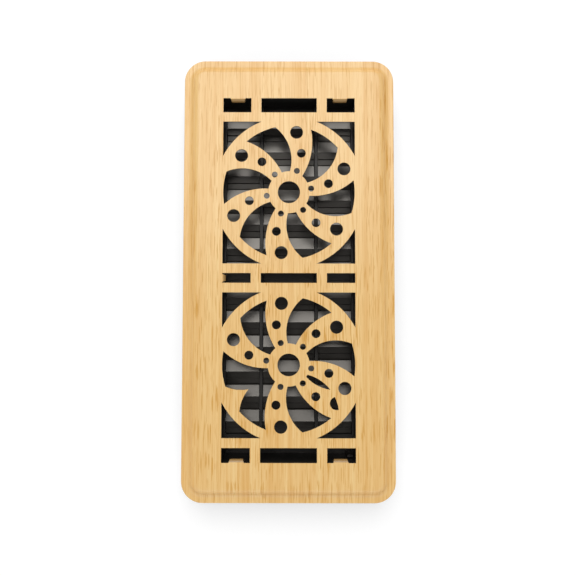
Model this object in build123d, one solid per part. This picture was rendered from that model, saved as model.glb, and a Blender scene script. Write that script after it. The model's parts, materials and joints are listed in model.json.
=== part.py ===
from build123d import *
import math
import os

os.makedirs("parts", exist_ok=True)

# A floor register: pierced sheet-steel face plate over a moulded box of linked louvers.
# Millimetres. Origin at the middle of the plate on the floor plane, +X across, +Y along, +Z up.

# Face plate
plate_w = 139.7
plate_l = 292.1
sheet_t = 1.0
rim_flat = 3.2
step_run = 7.0
step_h = 4.0
panel_corner_r = 3.8
rim_edge = 0.4

# Pierced field
field_w = 86.8
square_l = 94.0
bar_w = 6.25
upright_w = 6.6
mid_slot_h = 6.4
end_slot_h = 9.5
centre_slot_w = 36.6

# Wheels
wheel_stretch = 1.024
ring_in_r = 43.2
ring_w = 6.15
hub_r = 13.6
hub_hole_r = 7.3
leading_angles = (19.3, 6.1, 4.5)
trailing_angles = (-12.4, -23.4, -32.5)
hole_radii = (4.25, 2.9, 1.95)
hole_orbits = (39.23, 26.55, 14.75)
hole_angles = (0.0, -10.6, -13.5)
upper_first = 82.7
upper_count = 6
lower_spokes = ((-38.0, 1), (97.0, -1), (37.5, -1), (156.1, -1), (-22.0, -1), (-97.4, 1))
lower_stub = ((-142.2, -1), (-156.8, 1))

# Tabs curled down and back under the slot edges
tab_x = 33.7
end_tab_w = 9.9
side_tab_w = 5.1
tab_bend_r = 2.15
tab_taper = 0.8
tab_lip = 3.0

# Damper box
box_depth = 24.0
wall_t = 1.8
box_play = 0.15
box_corner_r = 2.0
flange_w = 4.5
flange_t = 1.6
rail_t = 1.2
rail_over = 2.2
rail_under = 6.6
rib_x = 18.5
rib_t = 2.0
rib_over = 3.6
rib_under = 6.6
ledge_t = 1.6
partition_t = 1.6
well_floor_t = 1.6
window_play = 0.3

# Louvers
pivot_depth = 11.4
pitch = 16.56
end_gap = 8.09
well_l = 10.6
shaft_d = 3.2
shaft_play = 0.05
bridge_w = 2.0
ridge_h = 2.4
ridge_step = 0.5
light_leaf = 7.8
light_drop = 1.4
light_tip_t = 0.8
lap = 0.8
lap_gap = 0.27
dark_land = 4.3
dark_land_drop = 1.0
dark_step = 1.0
leaf_t = 1.2
leaf_end_play = 0.3
rib_play = 0.35

# Cranks and link bar
swing = 75.0
crank_reach = 6.0
crank_t = 1.6
crank_w = 4.6
square_w = 2.2
square_play = 0.02
side_play = 0.2
pin_d = 2.0
pin_play = 0.06
pin_proud = 0.4
link_t = 1.5
link_h = 5.0
link_over = 3.2
finger_w = 3.8
finger_t = 1.6
finger_top = -8.0
finger_inset = 0.6
finger_stand_off = 0.6

# Heights and places worked out from the values above
panel_top = sheet_t + step_h
panel_under = panel_top - sheet_t
corner_r = panel_corner_r + step_run + rim_flat
field_x = field_w / 2
square_lo = mid_slot_h / 2 + bar_w
wheel_y = square_lo + square_l / 2
end_slot_lo = square_lo + square_l + bar_w
end_slot_hi = end_slot_lo + end_slot_h
outer_slot_lo = centre_slot_w / 2 + upright_w
ring_out_r = ring_in_r + ring_w
tab_axis = panel_top - tab_bend_r
tab_inner_r = tab_bend_r - sheet_t
lip_foot = tab_axis - tab_bend_r
lip_top = lip_foot + sheet_t

box_x = field_x + box_play
box_y = end_slot_hi + box_play
wall_x = box_x + wall_t
wall_y = box_y + wall_t
rail_x = box_x - rail_t
pivot_z = -pivot_depth
shaft_r = shaft_d / 2
dark_leaf = pitch - light_leaf
louver_count = int((2 * box_y - end_gap - well_l - partition_t - lap) / pitch)
first_pivot = box_y - end_gap - light_leaf
last_pivot = first_pivot - (louver_count - 1) * pitch
pivots = [first_pivot - k * pitch for k in range(louver_count)]
seat_y = last_pivot - dark_leaf
partition_y = seat_y - lap - lap_gap
ledge_y = box_y - end_gap - lap
leaf_x = rail_x - leaf_end_play
rib_clear = rib_t / 2 + rib_play
tip_under = ridge_h - light_drop - light_tip_t
dark_tip = tip_under - lap_gap
crank_x = wall_x + side_play
link_x = crank_x + crank_t + side_play
crank_angle = math.radians(swing / 2)
pin_y = -crank_reach * math.sin(crank_angle)
pin_z = -crank_reach * math.cos(crank_angle)
pin_travel = 2 * crank_reach * math.sin(crank_angle)
pin_dip = crank_reach + pin_z
finger_y = -end_slot_hi + finger_stand_off


def block(low, high):
    size = [b - a for a, b in zip(low, high)]
    middle = [(a + b) / 2 for a, b in zip(low, high)]
    return Pos(*middle) * Box(*size)


def rounded_block(half_x, half_y, low, high):
    outline = RectangleRounded(2 * half_x, 2 * half_y, box_corner_r)
    return Pos(0, 0, low) * extrude(outline, high - low)


def save(node, solid):
    solid.label = node
    export_step(solid, f"parts/{node}.step")


# The sheet's section from the corner axis out: panel, ogee step and flat rim, one thickness all through
def sheet_section():
    turn = 2 * math.atan(step_h / step_run)
    bend_r = step_run / (2 * math.sin(turn))
    foot = corner_r - rim_flat

    def at_foot(radius, angle):
        return (foot - radius * math.sin(angle), sheet_t + bend_r - radius * math.cos(angle))

    def at_crest(radius, angle):
        return (panel_corner_r + radius * math.sin(angle), panel_top - bend_r + radius * math.cos(angle))

    def arc(place, radius, start, end):
        return ThreePointArc(*[place(radius, angle) for angle in (start, turn / 2, end)])

    section = make_face([
        Line((corner_r, 0), (corner_r, sheet_t)),
        Line((corner_r, sheet_t), (foot, sheet_t)),
        arc(at_foot, bend_r, 0, turn),
        arc(at_crest, bend_r, turn, 0),
        Line((panel_corner_r, panel_top), (0, panel_top)),
        Line((0, panel_top), (0, panel_under)),
        Line((0, panel_under), (panel_corner_r, panel_under)),
        arc(at_crest, bend_r - sheet_t, 0, turn),
        arc(at_foot, bend_r + sheet_t, turn, 0),
        Line((foot, 0), (corner_r, 0)),
    ])
    rim_corner = section.vertices().sort_by_distance((corner_r, sheet_t, 0))[0]
    return chamfer(rim_corner, rim_edge)


# Stamped pan: four turned corners, four straight sides and the flat panel between them
def pan():
    section = sheet_section()
    middle_x = plate_w / 2 - corner_r
    middle_y = plate_l / 2 - corner_r
    corner = revolve(Plane.XZ * section, Axis.Z, 90)
    long_side = Pos(middle_x, 0, 0) * extrude(Plane.XZ * section, middle_y, both=True)
    short_side = Pos(0, middle_y, 0) * extrude(Plane.YZ * section, middle_x, both=True)
    sheet = block((-middle_x, -middle_y, panel_under), (middle_x, middle_y, panel_top))
    for turn, (sx, sy) in zip((0, 90, 180, 270), ((1, 1), (-1, 1), (-1, -1), (1, -1))):
        sheet += Pos(sx * middle_x, sy * middle_y, 0) * Rot(0, 0, turn) * corner
    for turn in (0, 180):
        sheet += Rot(0, 0, turn) * long_side
        sheet += Rot(0, 0, turn) * short_side
    return sheet


# The wheels are a little longer than they are wide
def oval(radius):
    return Ellipse(radius, radius * wheel_stretch)


def on_wheel(radius, degrees):
    angle = math.radians(degrees)
    return (radius * math.cos(angle), radius * wheel_stretch * math.sin(angle))


# One spoke about its outer hole's angle: two arcs from ring to hub, closed inside the solid metal
def spoke(degrees, hand):
    mid_r = (ring_in_r + hub_r) / 2
    root_r = (hub_r + hub_hole_r) / 2

    def at(radius, angle):
        return on_wheel(radius, degrees + hand * angle)

    lead = [at(r, a) for r, a in zip((ring_in_r, mid_r, hub_r), leading_angles)]
    trail = [at(r, a) for r, a in zip((hub_r, mid_r, ring_in_r), reversed(trailing_angles))]
    lead_out, trail_out = at(ring_out_r, leading_angles[0]), at(ring_out_r, trailing_angles[0])
    lead_root, trail_root = at(root_r, leading_angles[2]), at(root_r, trailing_angles[2])
    crown = at(ring_out_r, (leading_angles[0] + trailing_angles[0]) / 2)
    return make_face([
        ThreePointArc(*lead),
        Line(lead[2], lead_root),
        Line(lead_root, trail_root),
        Line(trail_root, trail[0]),
        ThreePointArc(*trail),
        Line(trail[2], trail_out),
        ThreePointArc(trail_out, crown, lead_out),
        Line(lead_out, lead[0]),
    ])


def spoke_holes(degrees, hand):
    holes = Sketch()
    for radius, orbit, angle in zip(hole_radii, hole_orbits, hole_angles):
        holes += Pos(*on_wheel(orbit, degrees + hand * angle)) * Circle(radius)
    return holes


# A wheel's openings: the ring between hub and rim, less its spokes, with each spoke drilled in turn
def wheel_openings(spokes, stub=None):
    openings = oval(ring_in_r) - oval(hub_r)
    if stub:
        openings -= spoke(*stub[0]) & spoke(*stub[1])
    for degrees, hand in spokes:
        openings -= spoke(degrees, hand)
        openings += spoke_holes(degrees, hand)
    return openings + Circle(hub_hole_r)


def slot(low, high):
    rectangle = Rectangle(high[0] - low[0], high[1] - low[1])
    return Pos((low[0] + high[0]) / 2, (low[1] + high[1]) / 2) * rectangle


def slot_row(low_y, high_y):
    return [
        slot((-field_x, low_y), (-outer_slot_lo, high_y)),
        slot((-centre_slot_w / 2, low_y), (centre_slot_w / 2, high_y)),
        slot((outer_slot_lo, low_y), (field_x, high_y)),
    ]


# Everything that is pierced through the flat panel
def pierced_field():
    upper = [(upper_first - k * 360 / upper_count, 1) for k in range(upper_count)]
    spandrels = Rectangle(field_w, square_l) - oval(ring_out_r)
    openings = Pos(0, wheel_y) * (spandrels + wheel_openings(upper))
    openings += Pos(0, -wheel_y) * (spandrels + wheel_openings(lower_spokes, lower_stub))
    rows = slot_row(-mid_slot_h / 2, mid_slot_h / 2)
    rows += slot_row(end_slot_lo, end_slot_hi) + slot_row(-end_slot_hi, -end_slot_lo)
    for row in rows:
        openings += row
    return openings


# A tab at a slot's edge: a half-round curl into the slot and a lip turned back under the edge
def tab(width):
    half = width / 2
    root = sheet_t / 2
    strip = make_face([
        Line((tab_lip, lip_foot), (0, lip_foot)),
        ThreePointArc((0, lip_foot), (-tab_bend_r, tab_axis), (0, panel_top)),
        Line((0, panel_top), (root, panel_top)),
        Line((root, panel_top), (root, panel_under)),
        Line((root, panel_under), (0, panel_under)),
        ThreePointArc((0, panel_under), (-tab_inner_r, tab_axis), (0, lip_top)),
        Line((0, lip_top), (tab_lip, lip_top)),
        Line((tab_lip, lip_top), (tab_lip, lip_foot)),
    ])
    plan = make_face(Polyline(
        (-half, tab_lip),
        (-half, 0),
        (tab_taper - half, -tab_bend_r),
        (half - tab_taper, -tab_bend_r),
        (half, 0),
        (half, tab_lip),
        close=True,
    ))
    curl = extrude(Plane.YZ * strip, half, both=True)
    return curl & Pos(0, 0, lip_foot) * extrude(plan, panel_top - lip_foot)


end_tab_places = [
    Pos(sx * tab_x, sy * end_slot_hi, 0) * Rot(0, 0, 0 if sy > 0 else 180)
    for sx in (-1, 1)
    for sy in (-1, 1)
]
side_tab_place = Pos(-field_x, 0, 0) * Rot(0, 0, 90)
tabs = [(place, end_tab_w) for place in end_tab_places] + [(side_tab_place, side_tab_w)]


def face_plate():
    sheet = pan()
    through = 2 * sheet_t
    sheet -= Pos(0, 0, panel_under - sheet_t / 2) * extrude(pierced_field(), through)
    for place, width in tabs:
        sheet += place * tab(width)
    return sheet


# Box walls with their flange under the plate: each tab's lip goes out through a window, round a lug above it
def box_shell():
    walls = rounded_block(wall_x, wall_y, -box_depth, panel_under)
    walls += rounded_block(wall_x + flange_w, wall_y + flange_w, panel_under - flange_t, panel_under)
    walls -= block((-box_x, -box_y, -2 * box_depth), (box_x, box_y, 2 * panel_under))
    lug = tab_inner_r / 2
    outside = box_play + wall_t + window_play
    for place, width in tabs:
        half = width / 2
        walls += place * block((-half, -lug, tab_axis - lug), (half, box_play + wall_t, tab_axis + lug))
        reach = half + window_play
        walls -= place * block((-reach, 0, lip_foot - window_play), (reach, outside, lip_top))
    return walls


# Rails on the side walls and lengthwise ribs: the rails carry the louver shafts, the ribs bridge the span
def bearings():
    top, foot = pivot_z + rail_over, pivot_z - rail_under
    rail = block((rail_x, partition_y, foot), (box_x, ledge_y, top))
    rails = rail + mirror(rail, Plane.YZ)
    rib_top, rib_foot = pivot_z + rib_over, pivot_z - rib_under
    low = rib_x - rib_t / 2
    rib = block((low, partition_y, rib_foot), (low + rib_t, box_y, rib_top))
    return rails + rib + mirror(rib, Plane.YZ)


# Ledge that the first louver closes on, and the partition with the lip that the last one closes under
def end_seats():
    ledge_top = pivot_z + dark_tip
    seats = block((-box_x, ledge_y, ledge_top - ledge_t), (box_x, box_y, ledge_top))
    seat_top = pivot_z + ridge_h - light_drop
    seat_under = pivot_z + tip_under
    seats += block((-box_x, partition_y - partition_t, -box_depth), (box_x, partition_y, seat_top))
    seats += block((-rail_x, partition_y, seat_under), (rail_x, seat_y, seat_top))
    floor_top = well_floor_t - box_depth
    seats += block((-box_x, -box_y, -box_depth), (box_x, partition_y, floor_top))
    return seats


# Slot in the right wall for the link bar's arm, over its whole swing
def arm_window():
    low = finger_y - window_play
    high = finger_y + finger_t + pin_travel + window_play
    top = pivot_z + pin_z + link_h / 2 + window_play
    foot = pivot_z + pin_z - link_h / 2 - pin_dip - window_play
    return block((rail_x, low, foot), (wall_x + wall_t, high, top))


def damper_box():
    box = box_shell() + bearings() + end_seats()
    hole_r = shaft_r + shaft_play
    bore = Rot(0, 90, 0) * Cylinder(hole_r, 2 * (wall_x - rail_x))
    rib_foot = pivot_z - rib_under
    span = rib_x + rib_t
    for y in pivots:
        for side in (-1, 1):
            box -= Pos(side * (rail_x + wall_x) / 2, y, pivot_z) * bore
        box -= block((-span, y - hole_r, rib_foot - rib_t), (span, y + hole_r, pivot_z + hole_r))
    return box - arm_window()


# Louver section about its shaft: roof-shaped leaf, stepped twice on the dark side, lapping its neighbours
def leaf_section():
    land_end = ridge_h - dark_land_drop
    step_end = -dark_land - dark_step / 2
    dark_end = -dark_leaf - lap
    return make_face(Polyline(
        (0, ridge_h),
        (light_leaf, ridge_h - light_drop),
        (light_leaf, tip_under),
        (shaft_r, ridge_h - leaf_t - light_drop * shaft_r / light_leaf),
        (shaft_r, -shaft_r),
        (-shaft_r, -shaft_r),
        (-dark_land, land_end - dark_step - leaf_t),
        (dark_end, dark_tip - leaf_t),
        (dark_end, dark_tip),
        (step_end, land_end - dark_step),
        (-dark_land, land_end),
        (-ridge_step / 2, ridge_h - ridge_step),
        close=True,
    ))


def louver(y):
    section = Plane.YZ * leaf_section()
    half = bridge_w / 2
    blade = block((-leaf_x, -half, -half), (leaf_x, half, half))
    inner_end, outer_start = rib_x - rib_clear, rib_x + rib_clear
    for low, high in ((-leaf_x, -outer_start), (-inner_end, inner_end), (outer_start, leaf_x)):
        blade += Pos(low, 0, 0) * extrude(section, high - low)
    for low, high in ((-wall_x, -leaf_x), (leaf_x, crank_x)):
        blade += Pos((low + high) / 2, 0, 0) * Rot(0, 90, 0) * Cylinder(shaft_r, high - low)
    end = square_w / 2
    blade += block((crank_x, -end, -end), (crank_x + crank_t, end, end))
    return Pos(0, y, pivot_z) * blade


# Crank on the squared shaft end, with the pin that the link bar sits on
def crank(y):
    arm = Pos(pin_y / 2, pin_z / 2) * Rot(0, 0, -swing / 2) * Rectangle(crank_w, crank_reach + crank_w)
    socket = square_w + 2 * square_play
    plate = extrude(Plane.YZ * (arm - Rectangle(socket, socket)), crank_t)
    pin_l = side_play + link_t + pin_proud
    pin = Pos(crank_t + pin_l / 2, pin_y, pin_z) * Rot(0, 90, 0) * Cylinder(pin_d / 2, pin_l)
    return Pos(crank_x, y, pivot_z) * (plate + pin)


# Link bar notched over the crank pins, with its arm through the wall and the finger tab standing in the well
def link_bar():
    level = pivot_z + pin_z
    top, foot = level + link_h / 2, level - link_h / 2
    far = link_x + link_t
    bar = block((link_x, finger_y, foot), (far, first_pivot + pin_y + link_over, top))
    half = pin_d / 2 + pin_play
    notch = block((link_x - link_t, -half, foot - link_t), (far + link_t, half, level + half))
    for y in pivots:
        bar -= Pos(0, y + pin_y, 0) * notch
    bar += block((box_x - finger_inset, finger_y, foot), (far, finger_y + finger_t, top))
    paddle_hi = box_x - finger_inset
    bar += block((paddle_hi - finger_w, finger_y, foot), (paddle_hi, finger_y + finger_t, finger_top))
    return bar


save("face_plate", face_plate())
save("damper_box", damper_box())
for number, y in enumerate(pivots, 1):
    save(f"louver_{number:02d}", louver(y))
    save(f"crank_{number:02d}", crank(y))
save("link_bar", link_bar())
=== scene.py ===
import json

import bmesh
import bpy
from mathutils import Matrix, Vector


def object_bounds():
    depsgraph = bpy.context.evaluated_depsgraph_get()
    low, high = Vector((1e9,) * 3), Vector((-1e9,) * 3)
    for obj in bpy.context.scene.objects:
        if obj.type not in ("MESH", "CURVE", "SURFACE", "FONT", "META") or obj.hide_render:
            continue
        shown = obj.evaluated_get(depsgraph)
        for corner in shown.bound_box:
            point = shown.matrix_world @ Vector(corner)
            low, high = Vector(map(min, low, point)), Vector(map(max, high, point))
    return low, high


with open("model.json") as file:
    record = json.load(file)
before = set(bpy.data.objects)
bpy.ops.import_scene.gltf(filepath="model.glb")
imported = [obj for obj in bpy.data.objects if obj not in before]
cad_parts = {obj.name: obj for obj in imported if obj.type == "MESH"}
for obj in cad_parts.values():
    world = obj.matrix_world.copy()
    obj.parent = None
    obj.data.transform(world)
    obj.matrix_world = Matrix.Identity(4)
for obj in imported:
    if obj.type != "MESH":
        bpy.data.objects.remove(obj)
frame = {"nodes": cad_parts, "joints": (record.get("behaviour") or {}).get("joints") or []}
cadLow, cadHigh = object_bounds()
nodes = frame["nodes"]
mm = 0.001
print("frame loaded,", len(nodes), "nodes")


def newMaterial(name):
    material = bpy.data.materials.new(name)
    material.use_nodes = True
    tree = material.node_tree
    return material, tree, tree.nodes["Principled BSDF"]


def addNode(tree, kind, **settings):
    node = tree.nodes.new(kind)
    for key, value in settings.items():
        setattr(node, key, value)
    return node


def objectPoint(tree):
    return addNode(tree, "ShaderNodeTexCoord").outputs["Object"]


def splitAxes(tree, vector):
    split = addNode(tree, "ShaderNodeSeparateXYZ")
    tree.links.new(vector, split.inputs["Vector"])
    return split.outputs


def addVectors(tree, first, second):
    total = addNode(tree, "ShaderNodeVectorMath", operation="ADD")
    tree.links.new(first, total.inputs[0])
    tree.links.new(second, total.inputs[1])
    return total.outputs["Vector"]


def remap(tree, value, fromLow, fromHigh, toLow=0.0, toHigh=1.0):
    node = addNode(tree, "ShaderNodeMapRange")
    ends = ("From Min", "From Max", "To Min", "To Max")
    for socket, end in zip(ends, (fromLow, fromHigh, toLow, toHigh)):
        node.inputs[socket].default_value = end
    tree.links.new(value, node.inputs["Value"])
    return node.outputs["Result"]


def math2(tree, operation, first, second=0.0):
    node = addNode(tree, "ShaderNodeMath", operation=operation)
    for socket, value in zip(node.inputs, (first, second)):
        if isinstance(value, (int, float)):
            socket.default_value = value
        else:
            tree.links.new(value, socket)
    return node.outputs["Value"]


def mixColour(tree, factor, first, second, blend="MIX"):
    node = addNode(tree, "ShaderNodeMix", data_type="RGBA", blend_type=blend)
    tree.links.new(factor, node.inputs["Factor"])
    for socket, value in zip((node.inputs[6], node.inputs[7]), (first, second)):
        if isinstance(value, tuple):
            socket.default_value = (*value, 1.0)
        else:
            tree.links.new(value, socket)
    return node.outputs[2]


noiseSpread = (0.3, 0.7)  # most of a noise lies between these


# noise with its sizes in mm, usually drawn out along Y
def grainNoise(tree, point, layer):
    offset, along = layer["offset"], layer["along"]
    mapping = addNode(tree, "ShaderNodeMapping")
    mapping.inputs["Location"].default_value = (offset, offset * 0.7, offset * 0.3)
    mapping.inputs["Scale"].default_value = (1 / (layer["across"] * mm), 1 / (along * mm), 1 / (along * mm))
    tree.links.new(point, mapping.inputs["Vector"])
    noise = addNode(tree, "ShaderNodeTexNoise")
    noise.inputs["Scale"].default_value = 1.0
    noise.inputs["Detail"].default_value = layer.get("detail", 2.0)
    tree.links.new(mapping.outputs["Vector"], noise.inputs["Vector"])
    return noise.outputs["Fac"]


def spreadNoise(tree, point, layer):
    return remap(tree, grainNoise(tree, point, layer), *noiseSpread)


def addBump(tree, shader, height, relief, normal=None):
    bump = addNode(tree, "ShaderNodeBump")
    if normal:
        tree.links.new(normal, bump.inputs["Normal"])
    bump.inputs["Strength"].default_value = relief["strength"]
    bump.inputs["Distance"].default_value = relief["depth"] * mm
    tree.links.new(height, bump.inputs["Height"])
    tree.links.new(bump.outputs["Normal"], shader.inputs["Normal"])


grilleReach = {"x": 0.7, "y": 0.85}  # shares of the plate's half width and half length


# 1 over the grille, 0 along the rim and beyond it
def withinGrille(tree, place):
    withinX = math2(tree, "LESS_THAN", math2(tree, "ABSOLUTE", place["X"]), grilleReach["x"] * cadHigh.x)
    withinY = math2(tree, "LESS_THAN", math2(tree, "ABSOLUTE", place["Y"]), grilleReach["y"] * cadHigh.y)
    return math2(tree, "MULTIPLY", withinX, withinY)


# painted tab shade, step and tab drops are in mm, measured down from the panel
oakFilm = {
    "light": (0.908, 0.655, 0.309),
    "dark": (0.732, 0.405, 0.119),
    "pore": (0.642, 0.329, 0.067),
    # painted shade: the dark film colour on the bent tabs, standing in for the shade they lie in
    "tabShade": (0.370, 0.215, 0.072),
    "drift": {"across": 55, "along": 130, "offset": 3.1, "detail": 1.0},
    "wander": 1.6,
    "broad": {"across": 15, "along": 700, "offset": 10.4, "weight": 0.20},
    "bands": {"across": 3.0, "along": 260, "offset": 11.7, "weight": 0.42},
    "fine": {"across": 0.58, "along": 42, "offset": 4.3, "weight": 0.38},
    "streak": {"across": 0.80, "along": 20, "offset": 9.2, "ends": (0.56, 0.61)},
    "patch": {"across": 9, "along": 140, "offset": 5.5, "ends": (0.35, 0.65), "least": 0.30},
    "roughness": (0.27, 0.33),
    "relief": {"strength": 0.10, "depth": 0.03},
    "edgeNormal": 0.3,
    "tabShadeDrop": (0.0, 0.12),
    # painted shade along the step between panel and rim
    "step": {"tint": (1.0, 0.95, 0.84), "crest": (0.1, 0.6), "foot": (3.1, 3.9)},
    "tabDrop": 1.4,
    "steel": ((0.038, 0.036, 0.034), (0.062, 0.060, 0.057)),
    "mottle": {"across": 4, "along": 4, "offset": 8.3, "detail": 4.0},
}


def heightsBelow(drops):
    return [cadHigh.z - drop * mm for drop in drops]


# 1 on the step between panel and rim, where painted shade darkens and warms the film
def stepShade(tree, place, grille):
    belowCrest = remap(tree, place["Z"], *heightsBelow(oakFilm["step"]["crest"]))
    aboveFoot = remap(tree, place["Z"], *heightsBelow(oakFilm["step"]["foot"]), 1.0, 0.0)
    band = math2(tree, "MULTIPLY", belowCrest, aboveFoot)
    return math2(tree, "MULTIPLY", band, math2(tree, "SUBTRACT", 1.0, grille))


# 1 on the upper side and the curled tabs, 0 on cut edges and the underside
def filmCover(tree, place, grille):
    facing = splitAxes(tree, addNode(tree, "ShaderNodeNewGeometry").outputs["True Normal"])
    upper = math2(tree, "GREATER_THAN", facing["Z"], oakFilm["edgeNormal"])
    low = math2(tree, "LESS_THAN", place["Z"], cadHigh.z - oakFilm["tabDrop"] * mm)
    return math2(tree, "MAXIMUM", upper, math2(tree, "MULTIPLY", low, grille))


# light oak film over the face, its grain running along the plate, with painted shade on the bent tabs and
# along the step, and bare steel where the sheet is cut
def oakFilmMaterial():
    material, tree, shader = newMaterial("oakFilm")
    point = objectPoint(tree)
    drift = grainNoise(tree, point, oakFilm["drift"])
    shift = addNode(tree, "ShaderNodeCombineXYZ")
    wander = oakFilm["wander"] * mm
    tree.links.new(remap(tree, drift, 0.0, 1.0, -wander, wander), shift.inputs["X"])
    wandered = addVectors(tree, point, shift.outputs["Vector"])

    layers = {name: spreadNoise(tree, wandered, oakFilm[name]) for name in ("broad", "bands", "fine")}
    tone = 0.0
    for name, layer in layers.items():
        tone = math2(tree, "ADD", tone, math2(tree, "MULTIPLY", layer, oakFilm[name]["weight"]))
    wood = mixColour(tree, tone, oakFilm["light"], oakFilm["dark"])

    # short dark pores, thicker in some patches than in others
    streak = remap(tree, grainNoise(tree, wandered, oakFilm["streak"]), *oakFilm["streak"]["ends"])
    patchNoise = grainNoise(tree, wandered, oakFilm["patch"])
    patch = remap(tree, patchNoise, *oakFilm["patch"]["ends"], oakFilm["patch"]["least"], 1.0)
    wood = mixColour(tree, math2(tree, "MULTIPLY", streak, patch), wood, oakFilm["pore"])

    place = splitAxes(tree, point)
    grille = withinGrille(tree, place)
    # painted shade: the film on the bent tabs below the panel is darkened to stand in for their shade
    shadedTabs = remap(tree, place["Z"], *heightsBelow(oakFilm["tabShadeDrop"]))
    wood = mixColour(tree, math2(tree, "MULTIPLY", shadedTabs, grille), wood, oakFilm["tabShade"])
    # painted shade on the step, multiplied over the film
    wood = mixColour(tree, stepShade(tree, place, grille), wood, oakFilm["step"]["tint"], "MULTIPLY")
    steel = mixColour(tree, grainNoise(tree, point, oakFilm["mottle"]), *oakFilm["steel"])
    film = filmCover(tree, place, grille)
    tree.links.new(mixColour(tree, film, steel, wood), shader.inputs["Base Color"])

    tree.links.new(remap(tree, layers["bands"], 0.0, 1.0, *oakFilm["roughness"]), shader.inputs["Roughness"])
    addBump(tree, shader, layers["fine"], oakFilm["relief"])
    return material


boxPlastic = {
    "tone": (0.0120, 0.0109, 0.0095),
    "roughness": (0.46, 0.54),
    "specular": 0.5,
    "sheen": (1.0, 0.96, 0.91),
}
linkPlastic = {
    "tone": (0.0100, 0.0088, 0.0075),
    "roughness": (0.38, 0.46),
    "specular": 0.6,
    "sheen": (1.0, 0.94, 0.86),
}
louverPlastic = {
    "tone": (0.0092, 0.0081, 0.0069),
    "roughness": (0.31, 0.35),
    "tip": 0.05,
    "ior": 1.55,
    "lightLeaf": 0.471,
    "lip": {"start": 0.445, "end": 0.515, "lean": 0.40},
    "set": (-0.01, 0.055),
    "specular": 1.0,
    "sheen": (1.0, 0.94, 0.86),
}
moulding = {
    "uneven": {"across": 7, "along": 7, "offset": 2.8, "detail": 3.0},
    "darker": 0.8,
    "grain": {"across": 0.35, "along": 0.35, "offset": 6.4},
    "relief": {"strength": 0.10, "depth": 0.05},
}

# the louvers' pivots along the box
pivots = sorted(joint["pos_m"][1] for joint in frame["joints"] if joint["child"].startswith("louver"))


# where a point lies between one louver's ridge, 0, and the next one's, 1
def leafPlace(tree, place):
    pitch = (pivots[-1] - pivots[0]) / (len(pivots) - 1)
    fromPivot = math2(tree, "SUBTRACT", place["Y"], pivots[0])
    return math2(tree, "FRACT", math2(tree, "DIVIDE", fromPivot, pitch))


# the light leaf is glossier along its ridge and duller toward its tip
def leafDulling(tree, leaf, finish):
    onLeaf = math2(tree, "LESS_THAN", leaf, finish["lightLeaf"])
    return math2(tree, "MULTIPLY", remap(tree, leaf, 0.0, finish["lightLeaf"], 0.0, finish["tip"]), onLeaf)


# the blades stand at a set that grows along the row, and their lapping tips are rounded over
def leafLean(tree, place, leaf, finish):
    lip = finish["lip"]
    onLip = math2(tree, "GREATER_THAN", leaf, lip["start"])
    onLip = math2(tree, "MULTIPLY", onLip, math2(tree, "LESS_THAN", leaf, lip["end"]))
    blade = remap(tree, place["Y"], pivots[0], pivots[-1], -finish["set"][0], -finish["set"][1])
    tip = math2(tree, "MULTIPLY", onLip, -lip["lean"])
    lean = addNode(tree, "ShaderNodeCombineXYZ")
    tree.links.new(math2(tree, "ADD", blade, tip), lean.inputs["Y"])
    turned = addNode(tree, "ShaderNodeVectorTransform", convert_from="OBJECT", convert_to="WORLD")
    tree.links.new(lean.outputs["Vector"], turned.inputs["Vector"])
    normal = addNode(tree, "ShaderNodeNewGeometry").outputs["Normal"]
    unit = addNode(tree, "ShaderNodeVectorMath", operation="NORMALIZE")
    tree.links.new(addVectors(tree, normal, turned.outputs["Vector"]), unit.inputs[0])
    return unit.outputs["Vector"]


# black moulding with a fine spark-eroded grain and a slightly uneven gloss
def blackPlasticMaterial(name, finish):
    material, tree, shader = newMaterial(name)
    point = objectPoint(tree)
    shader.inputs["Specular IOR Level"].default_value = finish["specular"]
    shader.inputs["Specular Tint"].default_value = (*finish["sheen"], 1.0)
    if "ior" in finish:
        shader.inputs["IOR"].default_value = finish["ior"]
    uneven = spreadNoise(tree, point, moulding["uneven"])
    darker = tuple(moulding["darker"] * value for value in finish["tone"])
    tree.links.new(mixColour(tree, uneven, darker, finish["tone"]), shader.inputs["Base Color"])
    roughness = remap(tree, uneven, 0.0, 1.0, *finish["roughness"])
    normal = None
    if "lip" in finish:
        place = splitAxes(tree, point)
        leaf = leafPlace(tree, place)
        roughness = math2(tree, "ADD", roughness, leafDulling(tree, leaf, finish))
        normal = leafLean(tree, place, leaf, finish)
    tree.links.new(roughness, shader.inputs["Roughness"])
    addBump(tree, shader, grainNoise(tree, point, moulding["grain"]), moulding["relief"], normal)
    return material


finishes = {
    "face_plate": oakFilmMaterial(),
    "damper_box": blackPlasticMaterial("boxPlastic", boxPlastic),
    "louver": blackPlasticMaterial("louverPlastic", louverPlastic),
    "crank": blackPlasticMaterial("crankPlastic", linkPlastic),
    "link_bar": blackPlasticMaterial("linkPlastic", linkPlastic),
}
for name, node in nodes.items():
    finish = finishes.get(name) or finishes[name.split("_")[0]]
    node.data.materials.clear()
    node.data.materials.append(finish)
print("finishes set")

floor = {"size": 30.0, "tone": (0.50, 0.50, 0.50), "glow": 0.57, "roughness": 0.8}


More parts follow.
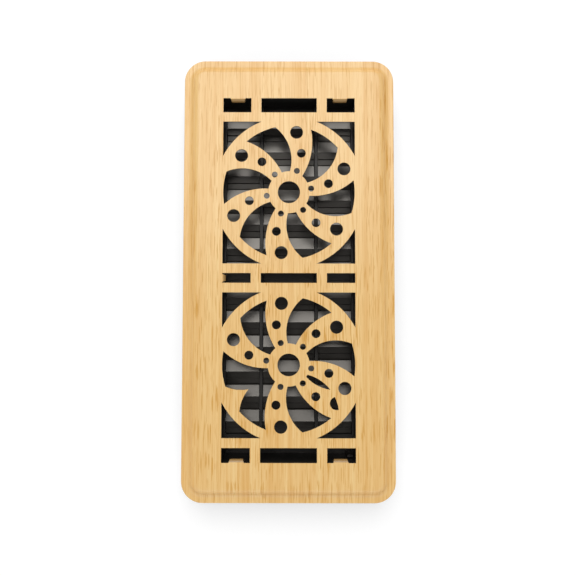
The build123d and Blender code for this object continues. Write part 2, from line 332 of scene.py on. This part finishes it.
# plain pale floor that glows a little, its glow left off under the plate so that the dark there is a painted
# shadow
def paleFloor():
    material, tree, shader = newMaterial("paleFloor")
    shader.inputs["Base Color"].default_value = (*floor["tone"], 1.0)
    shader.inputs["Roughness"].default_value = floor["roughness"]
    shader.inputs["Specular IOR Level"].default_value = 0.0
    shader.inputs["Emission Color"].default_value = (1.0, 1.0, 1.0, 1.0)
    # painted shadow: no glow where the floor lies under the plate
    clear = math2(tree, "SUBTRACT", 1.0, withinGrille(tree, splitAxes(tree, objectPoint(tree))))
    tree.links.new(math2(tree, "MULTIPLY", clear, floor["glow"]), shader.inputs["Emission Strength"])
    mesh = bpy.data.meshes.new("floor")
    bm = bmesh.new()
    bmesh.ops.create_grid(bm, x_segments=1, y_segments=1, size=floor["size"] / 2)
    bmesh.ops.translate(bm, verts=bm.verts, vec=(0, 0, cadLow.z))
    bm.to_mesh(mesh)
    bm.free()
    mesh.materials.append(material)
    sheet = bpy.data.objects.new("floor", mesh)
    bpy.context.scene.collection.objects.link(sheet)


# places and sizes in metres, with each light turned to the middle of the plate
softbox = {"place": (-0.10, 1.194, 2.035), "size": (1.8, 1.975), "power": 43.5}
frontFill = {"place": (0.0, -2.1, 1.45), "size": (3.2, 2.0), "power": 15.0}
tent = {"top": 0.10, "walls": 0.80, "topEdge": 0.80, "wallEdge": 0.60, "sideEdge": 0.35, "sides": 0.35}


def areaLight(name, settings):
    lamp = bpy.data.lights.new(name, "AREA")
    lamp.shape = "RECTANGLE"
    lamp.size, lamp.size_y = settings["size"]
    lamp.energy = settings["power"]
    box = bpy.data.objects.new(name, lamp)
    box.location = settings["place"]
    box.rotation_euler = (-Vector(settings["place"])).to_track_quat("-Z", "Y").to_euler()
    bpy.context.scene.collection.objects.link(box)


# a white tent: bright end walls, dimmer at the sides and overhead
def studioTent():
    world = bpy.data.worlds.new("tent")
    world.use_nodes = True
    tree = world.node_tree
    background = tree.nodes["Background"]
    direction = splitAxes(tree, addNode(tree, "ShaderNodeTexCoord").outputs["Generated"])
    glow = remap(tree, direction["Z"], tent["wallEdge"], tent["topEdge"], tent["walls"], tent["top"])
    sideways = math2(tree, "ABSOLUTE", direction["X"])
    shade = remap(tree, sideways, tent["sideEdge"], 1.0, 1.0, tent["sides"])
    tree.links.new(math2(tree, "MULTIPLY", glow, shade), background.inputs["Strength"])
    background.inputs["Color"].default_value = (1.0, 1.0, 1.0, 1.0)
    bpy.context.scene.world = world
    bpy.context.scene.view_settings.view_transform = "Standard"


# place in mm, pitch and roll in radians
camera = {
    "place": (-0.48, -23.2, 369.6),
    "pitch": 0.0456,
    "roll": 0.0016,
    "lens": 35.0,
    "sensor": 36.0,
    "clipStart": 0.01,
}


def photoCamera():
    data = bpy.data.cameras.new("camera")
    data.lens = camera["lens"]
    data.sensor_width = camera["sensor"]
    data.clip_start = camera["clipStart"]
    eye = bpy.data.objects.new("camera", data)
    eye.location = [value * mm for value in camera["place"]]
    eye.rotation_euler = (camera["pitch"], 0.0, camera["roll"])
    bpy.context.scene.collection.objects.link(eye)
    bpy.context.scene.camera = eye


paleFloor()
areaLight("softbox", softbox)
areaLight("frontFill", frontFill)
studioTent()
photoCamera()
print("stage, light and camera set")
